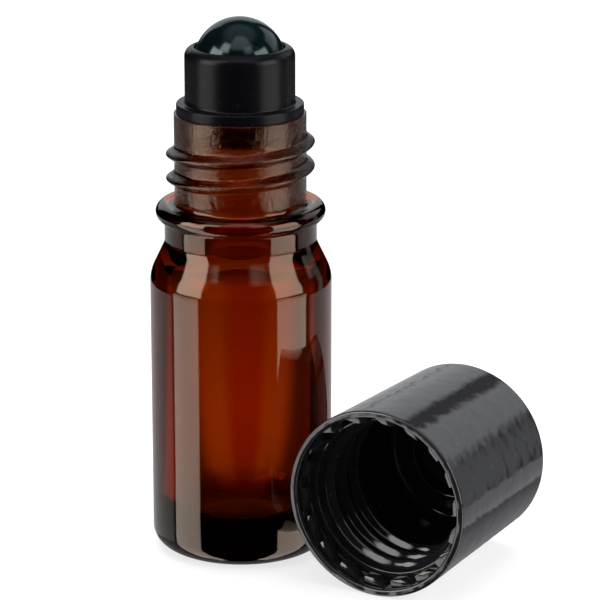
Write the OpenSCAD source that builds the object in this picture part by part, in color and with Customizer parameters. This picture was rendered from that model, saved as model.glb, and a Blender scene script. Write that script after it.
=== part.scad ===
// Roll-on bottle of 5 ml: a moulded glass bottle, a pressed-in fitment that cages a
// ball, and the screw cap, taken off and lying on its side next to the bottle.
// Lengths are in millimetres. The bottle stands on z = 0 with its axis on z, and the
// cap lies on z = 0 with its mouth towards -y.

/* [Bottle] */
// Outer radius of the body
body_r = 11; // [10.2:0.1:14]
// Height at which the straight body ends and the shoulder begins
body_h = 34.2; // [24:0.1:60]
// Radius of the rounding between body and base
base_corner_r = 2.3; // [1:0.1:4]
// Radius of the hollow under the base
punt_r = 6.4; // [3:0.1:7.5]
// Depth of the hollow under the base
punt_d = 0.7; // [0.2:0.1:1.2]
// Radius of the round part of the shoulder
shoulder_round_r = 4; // [2:0.1:5]
// Angle of the shoulder from the upright, in degrees
shoulder_slope = 28; // [24:1:40]
// Radius of the collar between shoulder and bead
collar_r = 9.2; // [8.7:0.05:9.6]
// Height of the collar up to the middle of the bead
collar_h = 3.3; // [2:0.1:5]
// Outer radius of the bead under the thread
bead_r = 10.25; // [9.7:0.05:11]
// Radius of the bead's round section
bead_round_r = 1.65; // [1.2:0.05:1.8]
// Radius of the neck that carries the thread
neck_r = 7.95; // [7.4:0.05:8.3]
// Height of the neck from the middle of the bead to the mouth
neck_h = 12.3; // [10:0.1:20]
// Outer radius of the screw thread on the neck
thread_r = 8.9; // [8.5:0.05:9.1]
// Rise of the thread in one turn
thread_pitch = 3; // [2.8:0.1:4]
// Number of turns of the thread
thread_turns = 2.05; // [1:0.05:2.5]
// Width of the thread where it leaves the neck
thread_foot_w = 1.9; // [1.2:0.1:2]
// Width of the thread's crest
thread_crest_w = 0.5; // [0.2:0.05:0.9]
// Distance from the mouth of the glass down to the upper end of the thread
thread_drop = 3.05; // [2:0.05:4]
// Direction of the thread's upper end, in degrees from +x
thread_top_a = 72.5; // [0:0.5:359.5]
// How far round each end of the thread takes to run out, in degrees
thread_fade_a = 42; // [20:1:90]
// Radius of the rounding on the outer edge of the mouth
mouth_round_r = 0.5; // [0.2:0.05:0.8]

/* [Glass] */
// Thickness of the body's wall
wall_t = 2.5; // [1.4:0.1:2.9]
// Thickness of the base over its hollow
base_t = 3.6; // [1.6:0.1:5]
// Radius of the bore through the neck
bore_r = 5.8; // [5:0.05:6.2]
// Radius of the rounding at the bottom of the chamber
chamber_corner_r = 3; // [1:0.1:5]
// Radius of the chamber's dome under the shoulder
dome_r = 3.5; // [2:0.1:4.5]
// Radius of the curve from the dome into the bore
throat_r = 2; // [1:0.1:3]
// Angle of the chamber's shoulder from the upright, in degrees
throat_slope = 45; // [38:1:54]
// Distance from the outer shoulder's start down to the dome's start
dome_drop = 0.8; // [0.4:0.1:3]

/* [Roller] */
// Radius of the ball
ball_r = 5.55; // [5:0.05:5.9]
// Running clearance between ball and cage
ball_play = 0.06; // [0.03:0.01:0.1]
// Height of the seat's lowest point over the mouth of the glass
seat_h = 0.44; // [0.2:0.02:1.5]
// Wall of the cage at the ball's equator
cage_t = 1; // [0.7:0.05:1.2]
// Height of the cage's lip over the middle of the ball
lip_rise = 2.05; // [1.5:0.05:2.4]
// Radius of the rounding that leads up to the lip
lip_round_r = 1.15; // [0.6:0.05:1.3]
// Height of the chamfer inside the lip
lip_chamfer_h = 0.35; // [0.1:0.05:0.6]
// Distance from the neck's side in to the flange's edge
flange_inset = 0.3; // [0.1:0.05:0.6]
// Thickness of the flange
flange_h = 1.3; // [0.9:0.05:2]
// Radius of the rounding on the flange's edge
flange_round_r = 0.2; // [0.1:0.05:0.4]
// Radius of the small fillet at the foot of the cage
foot_round_r = 0.25; // [0.1:0.05:0.4]
// Thickness of the floor under the seat
seat_t = 1; // [0.6:0.05:1.6]
// Radius of the feed hole in the seat
feed_r = 2.4; // [1.6:0.1:3]
// Number of feed ways in the seat
feed_ways = 4; // [3:1:6]
// Width of each feed way
feed_way_w = 0.9; // [0.5:0.05:1.2]
// Depth of each feed way
feed_way_d = 0.35; // [0.2:0.05:0.5]
// Distance from the middle of the ball down to the top of the feed ways
feed_way_drop = 1; // [0.5:0.1:2]
// Length of the plug's plain end below its last fin
plug_end = 0.3; // [0.1:0.05:5]
// Wall of the plug
plug_t = 0.9; // [0.6:0.05:1.2]
// Clearance between the plug's fins and the bore
fin_play = 0.03; // [0.01:0.01:0.08]
// Height of each fin over the plug's wall
fin_d = 0.35; // [0.2:0.05:0.5]
// Number of sealing fins
fins = 3; // [1:1:3]
// Distance from one fin to the next
fin_pitch = 0.85; // [0.7:0.05:1]
// Distance from the mouth of the glass down to the point of the first fin
fin_start = 0.5; // [0.3:0.05:0.8]

/* [Cap] */
// Clearance between bead and rim
rim_play = 0.3; // [0.2:0.05:0.6]
// Wall of the rim
rim_t = 0.85; // [0.6:0.05:1.5]
// Height of the rim's inner band
rim_h = 0.7; // [0.4:0.05:1.2]
// Depth of the groove behind the rim
groove_d = 0.2; // [0.1:0.05:0.3]
// Height of the groove behind the rim
groove_h = 0.35; // [0.2:0.05:0.6]
// Number of ratchet teeth
teeth = 18; // [12:1:24]
// Height of the ratchet teeth along the cap
tooth_h = 1.6; // [1:0.1:2.4]
// Depth of the ratchet teeth from the wall
tooth_d = 0.85; // [0.4:0.05:0.9]
// Distance from the teeth up to the ledge
ledge_gap = 0.6; // [0.3:0.05:1.5]
// Clearance between the bottle's thread and the cap's bore
thread_play = 0.5; // [0.3:0.05:0.6]
// Thickness of the closed end
top_t = 1.4; // [1:0.1:2]
// Radius of the rounding on the closed end's edge
top_round_r = 0.7; // [0.3:0.05:1]
// Radius of the rounding on the mouth's outer edge
rim_round_r = 0.25; // [0.1:0.05:0.35]
// Radius of the rounding between bore and ceiling
ceiling_round_r = 1.2; // [0.5:0.1:2]
// Mean radius of the sealing ring on the ceiling
seal_r = 5.2; // [4.5:0.1:6]
// Thickness of the sealing ring
seal_t = 0.5; // [0.3:0.05:0.8]
// Height of the sealing ring
seal_h = 2.5; // [1:0.1:3]
// Draft angle of the cap's side, in degrees
draft = 1; // [0.5:0.1:1.5]
// Gap between the closed cap and the bead
bead_gap = 0.25; // [0.1:0.05:0.6]
// Gap between the closed cap's ceiling and the ball
ball_gap = 0.9; // [0.5:0.1:2]

/* [Layout] */
// Gap between the bottle and the cap lying beside it
side_gap = 0.6; // [0.3:0.1:5]
// Distance of the cap's mouth in front of the bottle's axis
cap_ahead = 9; // [0:0.5:20]

/* [Hidden] */
$fn = 96;
arc_steps = 8;
// How far a cut runs past the face that it opens
overrun = 0.5;

// Bottle, outside
shoulder_end_r = body_r - shoulder_round_r * (1 - cos(shoulder_slope));
shoulder_end_z = body_h + shoulder_round_r * sin(shoulder_slope);
collar_z = shoulder_end_z + (shoulder_end_r - collar_r) / tan(shoulder_slope);
slope_top_z = shoulder_end_z + (shoulder_end_r - neck_r) / tan(shoulder_slope);
bead_z = collar_z + collar_h;
bead_mid_r = bead_r - bead_round_r;
glass_h = bead_z + neck_h;
bead_top_z = bead_z + bead_round_r;
punt_slope_r = punt_r - punt_d;

// Thread on the neck, wound down from its upper end
thread_a = 360 * thread_turns;
// Turn from one section of the ridge to the next, in degrees
thread_step_a = 12;
thread_d = thread_r - neck_r;
thread_z = glass_h - thread_drop;
// How deep the ridge is rooted in the neck, and its width there
thread_root_d = 0.2;
thread_flank = (thread_foot_w - thread_crest_w) / thread_d;
thread_root_w = thread_foot_w + thread_flank * thread_root_d;

// Bottle, inside
chamber_r = body_r - wall_t;
chamber_floor_z = punt_d + base_t;
dome_z = body_h - dome_drop;
throat_turn = 1 - cos(throat_slope);
throat_line = (chamber_r - bore_r - (dome_r + throat_r) * throat_turn) / sin(throat_slope);
throat_z = dome_z + (dome_r + throat_r) * sin(throat_slope) + throat_line * cos(throat_slope);

// Roller
cage_in_r = ball_r + ball_play;
housing_r = cage_in_r + cage_t;
flange_r = neck_r - flange_inset;
flange_top_z = glass_h + flange_h;
ball_z = glass_h + seat_h + cage_in_r;
lip_z = ball_z + lip_rise;
lip_edge_r = housing_r - lip_round_r;
lip_angle = asin((lip_rise - lip_chamfer_h) / cage_in_r);
feed_angle = -acos(feed_r / cage_in_r);
seat_floor_z = ball_z - cage_in_r - seat_t;
fin_r = bore_r - fin_play;
plug_r = fin_r - fin_d;
plug_in_r = plug_r - plug_t;
last_fin_z = glass_h - fin_start - (fins - 1) * fin_pitch;
plug_z = last_fin_z - 2 * fin_d - plug_end;

// Cap, measured from its mouth
rim_in_r = bead_r + rim_play;
cap_r = rim_in_r + rim_t;
cap_l = ball_z + ball_r + ball_gap + top_t - bead_top_z - bead_gap;
cap_top_r = cap_r - cap_l * tan(draft);
groove_end = rim_h + groove_h;
teeth_end = groove_end + tooth_h;
ledge_z = teeth_end + ledge_gap;
cap_bore_r = thread_r + thread_play;
ceiling_z = cap_l - top_t;
tooth_tip_r = rim_in_r - tooth_d;
tooth_root_r = rim_in_r + rim_t / 2;
tooth_pitch = 360 / teeth;
// Where a tooth's flat top ends, and where its ramp ends inside the wall, in pitches
tooth_top_share = 0.42;
tooth_ramp_share = 0.95;
cap_x = body_r + cap_r + side_gap;
cap_z = cap_r * cos(draft);

// Points of an arc about (x, z), from angle a to angle b
function arc(x, z, r, a, b) = [
    for (i = [0 : arc_steps])
        let (t = a + (b - a) * i / arc_steps)
            [x + r * cos(t), z + r * sin(t)]
];

// A disc or cylinder in section, from the axis out to r, with its top edge rounded
module rounded_section(r, low, top, round_r) {
    polygon(concat(
        [[0, low], [r, low]],
        arc(r - round_r, top - round_r, round_r, 0, 90),
        [[0, top]]
    ));
}

// The body up into its sloping shoulder, with the hollow under its base
module body_section() {
    polygon(concat(
        [[0, punt_d], [punt_slope_r, punt_d], [punt_r, 0]],
        arc(body_r - base_corner_r, base_corner_r, base_corner_r, -90, 0),
        arc(body_r - shoulder_round_r, body_h, shoulder_round_r, 0, shoulder_slope),
        [[neck_r, slope_top_z], [0, slope_top_z]]
    ));
}

module bead_section() {
    translate([0, bead_z - bead_round_r])
        square([bead_mid_r, 2 * bead_round_r]);
    translate([bead_mid_r, bead_z])
        circle(r = bead_round_r);
}

// All that is hollow in the glass, open at the mouth
module chamber_section() {
    polygon(concat(
        [[0, glass_h + overrun], [bore_r + mouth_round_r, glass_h + overrun]],
        arc(bore_r + mouth_round_r, glass_h - mouth_round_r, mouth_round_r, 90, 180),
        arc(bore_r + throat_r, throat_z, throat_r, 180, 180 + throat_slope),
        arc(chamber_r - dome_r, dome_z, dome_r, throat_slope, 0),
        arc(chamber_r - chamber_corner_r, chamber_floor_z + chamber_corner_r,
            chamber_corner_r, 0, -90),
        [[0, chamber_floor_z]]
    ));
}

// How much of its height the thread has, a degrees from its upper end
function thread_share(a) =
    (1 - cos(180 * min(1, a / thread_fade_a, (thread_a - a) / thread_fade_a))) / 2;

// The ridge in section there, which sinks into the neck where the thread runs out
function thread_corners(a) =
    let (
        crest_r = neck_r - thread_root_d + (thread_d + thread_root_d) * thread_share(a),
        root_r = crest_r - thread_d - thread_root_d,
        z = thread_z - thread_pitch * a / 360
    )
    [
        place(root_r, thread_top_a - a, z - thread_root_w / 2),
        place(crest_r, thread_top_a - a, z - thread_crest_w / 2),
        place(crest_r, thread_top_a - a, z + thread_crest_w / 2),
        place(root_r, thread_top_a - a, z + thread_root_w / 2)
    ];

function place(r, a, z) = [r * cos(a), r * sin(a), z];

// The right-hand screw thread, one section after another joined into a ridge
module screw_thread() {
    corners = 4;
    steps = ceil(thread_a / thread_step_a);
    last = corners * steps;
    points = [for (i = [0 : steps]) each thread_corners(thread_a * i / steps)];
    sides = [
        for (i = [0 : steps - 1], k = [0 : corners - 1])
            let (a = corners * i + k, b = corners * i + (k + 1) % corners)
                each [[a, b + corners, b], [a, a + corners, b + corners]]
    ];
    ends = [[for (k = [0 : corners - 1]) k], [for (k = [corners - 1 : -1 : 0]) last + k]];
    polyhedron(points, concat(sides, ends));
}

module glass_bottle() {
    color([0.36, 0.09, 0.02])
        difference() {
            union() {
                rotate_extrude() {
                    body_section();
                    translate([0, dome_z]) square([collar_r, bead_z - dome_z]);
                    bead_section();
                    rounded_section(neck_r, dome_z, glass_h, mouth_round_r);
                }
                screw_thread();
            }
            rotate_extrude() chamber_section();
        }
}

// The small fillet between the flange and the foot of the cage
module foot_section() {
    polygon(concat(
        [[0, flange_top_z]],
        arc(housing_r + foot_round_r, flange_top_z + foot_round_r, foot_round_r, 270, 180),
        [[0, flange_top_z + foot_round_r]]
    ));
}

// One sealing fin, a low triangle whose point runs along the bore
function fin(z) = [[plug_r, z - fin_d], [fin_r, z], [plug_r, z + fin_d]];

module plug_section() {
    polygon(concat(
        [[0, plug_z], [plug_r - fin_d, plug_z], [plug_r, plug_z + fin_d]],
        [for (i = [0 : fins - 1]) each fin(last_fin_z + i * fin_pitch)],
        [[plug_r, flange_top_z], [0, flange_top_z]]
    ));
}

// What is hollow in the fitment: the ball's cage, the feed hole and the plug's bore
module seat_section() {
    polygon(concat(
        [[0, lip_z + overrun], [lip_edge_r, lip_z + overrun], [lip_edge_r, lip_z]],
        arc(0, ball_z, cage_in_r, lip_angle, feed_angle),
        [[feed_r, seat_floor_z], [plug_in_r, seat_floor_z], [plug_in_r, plug_z - overrun]],
        [[0, plug_z - overrun]]
    ));
}

module roller_housing() {
    color([0.05, 0.05, 0.055])
        difference() {
            rotate_extrude()
                difference() {
                    union() {
                        rounded_section(flange_r, glass_h, flange_top_z, flange_round_r);
                        foot_section();
                        rounded_section(housing_r, glass_h, lip_z, lip_round_r);
                        plug_section();
                    }
                    seat_section();
                }
            seat_ways();
        }
}

// The ways that bring the liquid up round the ball
module seat_ways() {
    way_h = ball_z - feed_way_drop - seat_floor_z;
    intersection() {
        translate([0, 0, ball_z]) sphere(r = cage_in_r + feed_way_d);
        for (i = [0 : feed_ways - 1])
            rotate([0, 0, i * 360 / feed_ways])
                translate([0, -feed_way_w / 2, seat_floor_z])
                    cube([housing_r, feed_way_w, way_h]);
    }
}

module roller_ball() {
    color([0.1, 0.16, 0.17])
        translate([0, 0, ball_z])
            sphere(r = ball_r);
}

function cap_outside() = concat(
    arc(cap_r - rim_round_r, rim_round_r, rim_round_r, -90, -draft),
    arc(cap_top_r - top_round_r, cap_l - top_round_r, top_round_r, -draft, 90),
    [[0, cap_l], [0, ceiling_z]]
);

function cap_inside() = concat(
    [[seal_r - seal_t / 2, ceiling_z]],
    arc(seal_r, ceiling_z - seal_h + seal_t / 2, seal_t / 2, 180, 360),
    [[seal_r + seal_t / 2, ceiling_z]],
    arc(cap_bore_r - ceiling_round_r, ceiling_z - ceiling_round_r, ceiling_round_r, 90, 0),
    [[cap_bore_r, ledge_z], [rim_in_r, ledge_z], [rim_in_r, groove_end]],
    [[rim_in_r + groove_d, groove_end], [rim_in_r + groove_d, rim_h], [rim_in_r, rim_h]],
    arc(rim_in_r + rim_round_r, rim_round_r, rim_round_r, 180, 270)
);

// One ratchet tooth, rooted in the wall: steep face, flat top, ramp back to the wall
function tooth_points() = [
    polar(tooth_root_r, 0),
    polar(tooth_tip_r, 0),
    polar(tooth_tip_r, tooth_top_share * tooth_pitch),
    polar(tooth_root_r, tooth_ramp_share * tooth_pitch)
];

function polar(r, a) = [r * cos(a), -r * sin(a)];

module ratchet() {
    for (i = [0 : teeth - 1])
        rotate([0, 0, i * tooth_pitch])
            translate([0, 0, groove_end])
                linear_extrude(tooth_h)
                    polygon(tooth_points());
}

module screw_cap() {
    color([0.07, 0.07, 0.075])
        translate([cap_x, -cap_ahead, cap_z])
            rotate([-90 - draft, 0, 0]) {
                rotate_extrude()
                    polygon(concat(cap_outside(), cap_inside()));
                ratchet();
            }
}

glass_bottle();
roller_housing();
roller_ball();
screw_cap();
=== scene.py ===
"""Roll-on bottle: the amber glass bottle, its ball fitment and ball, and the screw cap.

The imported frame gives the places. Sizes and colours stand in the property groups and can be
changed in the sidebar before the pieces are made. All lengths are metres in Blender's scene.
"""

import math
from types import SimpleNamespace

import bmesh
import bpy
from bpy.props import FloatProperty, FloatVectorProperty, IntProperty, PointerProperty
from mathutils import Matrix, Vector


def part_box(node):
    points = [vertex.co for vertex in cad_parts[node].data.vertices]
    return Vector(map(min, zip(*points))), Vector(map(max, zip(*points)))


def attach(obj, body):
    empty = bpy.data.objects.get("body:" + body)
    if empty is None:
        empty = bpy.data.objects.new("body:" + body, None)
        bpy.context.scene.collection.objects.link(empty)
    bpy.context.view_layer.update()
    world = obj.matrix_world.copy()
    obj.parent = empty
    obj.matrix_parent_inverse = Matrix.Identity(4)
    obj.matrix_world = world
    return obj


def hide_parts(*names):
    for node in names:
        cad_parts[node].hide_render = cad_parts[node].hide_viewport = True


bl_info = {
    "name": "Roll-on Bottle",
    "version": (1, 0, 0),
    "blender": (4, 5, 0),
    "location": "3D View > Sidebar > Roll-on",
    "description": "Makes an amber roll-on bottle with its ball fitment and screw cap",
    "category": "Add Mesh",
}

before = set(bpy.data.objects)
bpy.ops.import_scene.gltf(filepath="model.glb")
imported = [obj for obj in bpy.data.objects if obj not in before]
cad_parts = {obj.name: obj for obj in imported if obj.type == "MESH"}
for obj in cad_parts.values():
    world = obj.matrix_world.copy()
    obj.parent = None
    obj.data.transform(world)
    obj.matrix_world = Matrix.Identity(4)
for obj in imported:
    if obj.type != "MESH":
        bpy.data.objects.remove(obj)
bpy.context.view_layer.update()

MM = 0.001
# Steps round the axis of every turned piece, and along an arc that doesn't name its own
TURN_STEPS = 192
ARC_STEPS = 8
# Points of a mesh nearer to each other than this are one
SAME_POINT = 0.0005 * MM
# Past this angle between two faces their edge is drawn sharp
SHARP_ANGLE = math.radians(38)
# A point this near to a seat or a bore lies on it
ON_SURFACE = 0.05 * MM
# Where the bead's arc ends on its upper face, in degrees from its outermost point
BEAD_END = 128
# Turns over which the ends of the bottle's and of the cap's thread run out
NECK_RUN_OUT, CAP_RUN_OUT = math.radians(42), math.radians(30)
# More than 1 makes a thread's ridge slimmer than a plain wave
RIDGE_POWER = 1.8
# Shares of the pitch at which a tooth's flat top and its ramp end
TOOTH_TOP, TOOTH_RAMP = 0.42, 0.95

GLASS_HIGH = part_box("glass_bottle")[1]
FITMENT_LOW, FITMENT_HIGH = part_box("roller_housing")
BALL_LOW, BALL_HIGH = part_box("roller_ball")
CAP_LOW, CAP_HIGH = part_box("screw_cap")


# ---- Properties


def length(name, description, mm, low=0.0):
    """A length property with its default in millimetres."""
    return FloatProperty(
        name=name, description=description, default=mm * MM, min=low * MM,
        precision=5, subtype="DISTANCE", unit="LENGTH",
    )


def angle(name, description, degrees):
    """An angle property with its default in degrees."""
    return FloatProperty(
        name=name, description=description, default=math.radians(degrees),
        subtype="ANGLE", unit="ROTATION",
    )


def colour(name, description, value):
    """A colour property."""
    return FloatVectorProperty(
        name=name, description=description, default=value, size=3, min=0.0, max=1.0,
        subtype="COLOR",
    )


class BottleSettings(bpy.types.PropertyGroup):
    """Sizes and colour of the glass bottle."""

    body_radius: length("Body Radius", "Outer radius of the body", GLASS_HIGH.x / MM)
    body_height: length("Body Height", "Height at which the shoulder begins", 33.5)
    base_corner: length("Base Corner", "Rounding between body and base", 2.3)
    punt_radius: length("Punt Radius", "Radius of the hollow under the base", 6.4)
    punt_depth: length("Punt Depth", "Depth of the hollow under the base", 0.7)
    shoulder_round: length("Shoulder Rounding", "Radius of the round shoulder", 4.9)
    shoulder_slope: angle("Shoulder Slope", "Angle of the shoulder from the upright", 25.6)
    collar_radius: length("Collar Radius", "Radius of the collar under the bead", 9.2)
    collar_height: length("Collar Height", "Height of the collar up to the bead", 3.84)
    bead_radius: length("Bead Radius", "Outer radius of the bead", 10.25)
    bead_round: length("Bead Rounding", "Rounding of the bead's edge", 1.08)
    bead_rise: length("Bead Rise", "How far the bead's upper face rises to the neck", 0.05)
    neck_radius: length("Neck Radius", "Radius of the neck between the threads", 7.95)
    mouth_height: length("Mouth Height", "Height of the mouth", GLASS_HIGH.z / MM)
    mouth_round: length("Mouth Rounding", "Rounding of the mouth's edges", 0.5)
    wall: length("Wall", "Thickness of the body's wall", 2.5)
    base_thickness: length("Base Thickness", "Glass over the hollow of the base", 3.6)
    bore_radius: length("Bore Radius", "Radius of the bore through the neck", 5.8)
    chamber_corner: length("Chamber Corner", "Rounding at the bottom of the chamber", 3)
    dome_round: length("Dome Rounding", "Radius of the chamber's dome", 3.5)
    throat_round: length("Throat Rounding", "Radius from the dome into the bore", 2)
    throat_slope: angle("Throat Slope", "Angle of the chamber's shoulder", 45)
    grain_start: length("Grain Start", "Height at which the grained neck begins", 43.1)
    thread_depth: length("Thread Depth", "Height of the thread over the neck", 1)
    thread_width: length("Thread Width", "Width of the thread's foot", 1.9)
    thread_pitch: length("Thread Pitch", "Rise of the thread in one turn", 3)
    thread_height: length("Thread Height", "Height of the thread at its middle", 47.75)
    thread_start: angle("Thread Start", "Turn from the middle down to the start", -332)
    thread_end: angle("Thread End", "Turn from the middle up to the end", 404)
    thread_middle: angle("Thread Middle", "Turn at which the thread has its middle height", 28.5)
    tint: colour("Tint", "Light that a thin layer of glass lets through", (0.818, 0.559, 0.118))
    density: FloatProperty(
        name="Tint Density", description="How strongly each metre of glass takes light away",
        default=1700.0, min=0.0,
    )


class FitmentSettings(bpy.types.PropertyGroup):
    """Sizes and colours of the ball and of the fitment that holds it."""

    ball_radius: length("Ball Radius", "Radius of the ball", (BALL_HIGH.z - BALL_LOW.z) / 2 / MM)
    play: length("Play", "Clearance between ball and cage", 0.06)
    cage_wall: length("Cage Wall", "Wall of the cage at the ball's middle", 1)
    lip_rise: length("Lip Rise", "Height of the lip over the ball's middle", 2.05)
    lip_round: length("Lip Rounding", "Rounding that leads up to the lip", 1.15)
    lip_chamfer: length("Lip Chamfer", "Height of the chamfer inside the lip", 0.35)
    flange_radius: length("Flange Radius", "Radius of the flange", FITMENT_HIGH.x / MM)
    flange_height: length("Flange Height", "Thickness of the flange", 1.3)
    flange_round: length("Flange Rounding", "Rounding of the flange's upper edge", 0.2)
    foot_round: length("Foot Fillet", "Fillet at the foot of the cage", 0.25)
    seat_thickness: length("Seat Thickness", "Floor under the seat", 1)
    feed_radius: length("Feed Radius", "Radius of the feed hole", 2.4)
    feed_way_width: length("Feed Way Width", "Width of each feed way in the seat", 0.9)
    feed_way_depth: length("Feed Way Depth", "Depth of each feed way in the seat", 0.35)
    feed_way_drop: length("Feed Way Drop", "From the ball's middle to the ways' top", 1)
    feed_ways: IntProperty(name="Feed Ways", description="Number of feed ways", default=4, min=1)
    fins: IntProperty(name="Fins", description="Number of sealing fins", default=3, min=1)
    fin_pitch: length("Fin Pitch", "Distance from one fin to the next", 0.85)
    fin_start: length("Fin Start", "From the glass's mouth to the first fin", 0.5)
    fin_depth: length("Fin Depth", "Height of each fin", 0.35)
    fin_play: length("Fin Play", "Clearance between fins and bore", 0.03)
    plug_wall: length("Plug Wall", "Wall of the plug", 0.9)
    housing_tint: colour("Fitment Colour", "Colour of the fitment", (0.003, 0.003, 0.0042))
    ball_tint: colour("Ball Colour", "Colour of the ball", (0.0014, 0.0045, 0.005))


class CapSettings(bpy.types.PropertyGroup):
    """Sizes and colour of the screw cap, measured from its mouth."""

    radius: length("Radius", "Outer radius at the mouth", (CAP_HIGH.x - CAP_LOW.x) / 2 / MM)
    height: length("Height", "Height of the cap", 24.3)
    draft: angle("Draft", "Angle of the cap's side", 1)
    rim_wall: length("Rim Wall", "Wall of the rim", 0.85)
    rim_height: length("Rim Height", "Height of the rim's inner band", 0.7)
    rim_round: length("Rim Rounding", "Rounding of the mouth's edges", 0.25)
    groove_depth: length("Groove Depth", "Depth of the groove behind the rim", 0.2)
    groove_height: length("Groove Height", "Height of the groove behind the rim", 0.35)
    teeth: IntProperty(name="Teeth", description="Number of ratchet teeth", default=18, min=3)
    tooth_height: length("Tooth Height", "Height of the teeth along the cap", 1.6)
    tooth_depth: length("Tooth Depth", "Depth of the teeth from the wall", 0.85)
    tooth_bevel: length("Tooth Bevel", "Rounding of the teeth's edges", 0.07)
    ledge_gap: length("Ledge Gap", "From the teeth up to the ledge", 0.6)
    bore_radius: length("Bore Radius", "Radius of the bore that carries the thread", 9.4)
    top_thickness: length("Top Thickness", "Thickness of the closed end", 1.4)
    top_round: length("Top Rounding", "Rounding of the closed end's edge", 0.7)
    ceiling_round: length("Ceiling Rounding", "Rounding between bore and ceiling", 1.2)
    seal_radius: length("Seal Radius", "Mean radius of the sealing ring", 5.2)
    seal_wall: length("Seal Wall", "Thickness of the sealing ring", 0.5)
    seal_height: length("Seal Height", "Height of the sealing ring", 2.5)
    thread_depth: length("Thread Depth", "Height of the thread over the bore", 0.95)
    thread_width: length("Thread Width", "Width of the thread's foot", 1.7)
    thread_pitch: length("Thread Pitch", "Rise of the thread in one turn", 3)
    thread_height: length("Thread Height", "Height of the thread at its start", 4.6)
    thread_turn: angle("Thread Turn", "How far the thread winds round", 1060)
    tint: colour("Cap Colour", "Colour of the cap's plastic", (0.014, 0.014, 0.016))


class StageSettings(bpy.types.PropertyGroup):
    """The camera's place and the light of the stage."""

    azimuth: angle("Azimuth", "Direction of the camera round the bottle", 28.5)
    elevation: angle("Elevation", "Height of the camera over the horizon", 16.58)
    distance: length("Distance", "From the camera to the middle of the view", 375.6)
    aim_side: length("Aim Side", "How far right of the bottle's axis the camera aims", 7.15)
    aim_height: length("Aim Height", "Height that the camera aims at", 30.84)
    focal: FloatProperty(
        name="Focal Length", description="Focal length of the lens in millimetres",
        default=185.5, min=1.0, unit="CAMERA",
    )
    floor_tint: colour("Floor Colour", "Colour of the floor", (0.86, 0.86, 0.86))
    soft_light: FloatProperty(
        name="Panel Light", description="Power of each soft light in watts", default=2.6, min=0.0,
    )


# ---- Outlines, as lists of (distance from the axis, height)


def arc(x, z, radius, start, end, steps=ARC_STEPS):
    """Points of an arc about (x, z), from one angle to another in degrees."""
    turns = [math.radians(start + (end - start) * i / steps) for i in range(steps + 1)]
    return [(x + radius * math.cos(t), z + radius * math.sin(t)) for t in turns]


def line(start, end, step):
    """Points along a straight line, at most a step apart."""
    count = max(1, math.ceil(math.dist(start, end) / step))
    shares = [i / count for i in range(count + 1)]
    return [tuple(a + (b - a) * s for a, b in zip(start, end)) for s in shares]


def soften(points, corner, reach, steps):
    """Turns the corner of an outline that is nearest to a point into a small curve."""
    middle = min(range(len(points)), key=lambda i: math.dist(points[i], corner))

    def walk(way):
        left, i = reach, middle
        while math.dist(points[i], points[i + way]) < left:
            left -= math.dist(points[i], points[i + way])
            i += way
        here, there = Vector(points[i]), Vector(points[i + way])
        return here.lerp(there, left / (there - here).length), i + way

    (first, low), (last, high) = walk(-1), walk(1)
    tip = Vector(points[middle])
    shares = [i / steps for i in range(steps + 1)]
    curve = [first.lerp(tip, s).lerp(tip.lerp(last, s), s) for s in shares]
    return points[: low + 1] + [tuple(p) for p in curve] + points[high:]


def without_doubles(points):
    """The outline with each point once where two parts of it meet."""
    kept = [points[0]]
    for point in points[1:]:
        if math.dist(point, kept[-1]) > 4 * SAME_POINT:
            kept.append(point)
    return kept


def soften_all(points, corners, steps):
    """The outline with each corner softened, given with its reach in millimetres."""
    points = without_doubles(points)
    for corner, reach in corners:
        points = soften(points, corner, reach * MM, steps)
    return points


# ---- Meshes


def lathe(points, closed=False, steps=TURN_STEPS):
    """A new mesh: the outline turned once round z."""
    bm = bmesh.new()
    verts = [bm.verts.new((x, 0.0, z)) for x, z in without_doubles(points)]
    follow = verts[1:] + verts[:1] if closed else verts[1:]
    edges = [bm.edges.new(pair) for pair in zip(verts, follow)]
    bmesh.ops.spin(
        bm, geom=verts + edges, cent=(0, 0, 0), axis=(0, 0, 1), dvec=(0, 0, 0),
        angle=math.tau, steps=steps, use_merge=True, use_duplicate=False,
    )
    bmesh.ops.remove_doubles(bm, verts=bm.verts, dist=SAME_POINT)
    bmesh.ops.recalc_face_normals(bm, faces=bm.faces)
    return bm


def smooth_step(value, low, high):
    """0 at low, 1 at high, and a smooth curve between them."""
    share = min(1.0, max(0.0, (value - low) / (high - low)))
    return share * share * (3 - 2 * share)


def thread_rise(turn, z, height, pitch, start, end, width, fade):
    """How far a thread's ridge stands at this turn and height, from 0 to 1."""
    best = 0.0
    first = math.floor((start - turn) / math.tau)
    for lap in range(first, first + 6):
        along = turn + lap * math.tau
        if start < along < end:
            off = abs(z - height - pitch * along / math.tau) / (width / 2)
            if off < 1:
                ends = smooth_step(along, start, start + fade)
                ends *= smooth_step(-along, -end, fade - end)
                best = max(best, ends * math.cos(off * math.pi / 2) ** RIDGE_POWER)
    return best


def add_ring(bm, move):
    """Moves each point of a turned mesh in or out, by what move(radius, turn, z) says."""
    for vert in bm.verts:
        radius = math.hypot(vert.co.x, vert.co.y)
        if radius > SAME_POINT:
            change = move(radius, math.atan2(vert.co.y, vert.co.x), vert.co.z)
            vert.co.x *= (radius + change) / radius
            vert.co.y *= (radius + change) / radius


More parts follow.
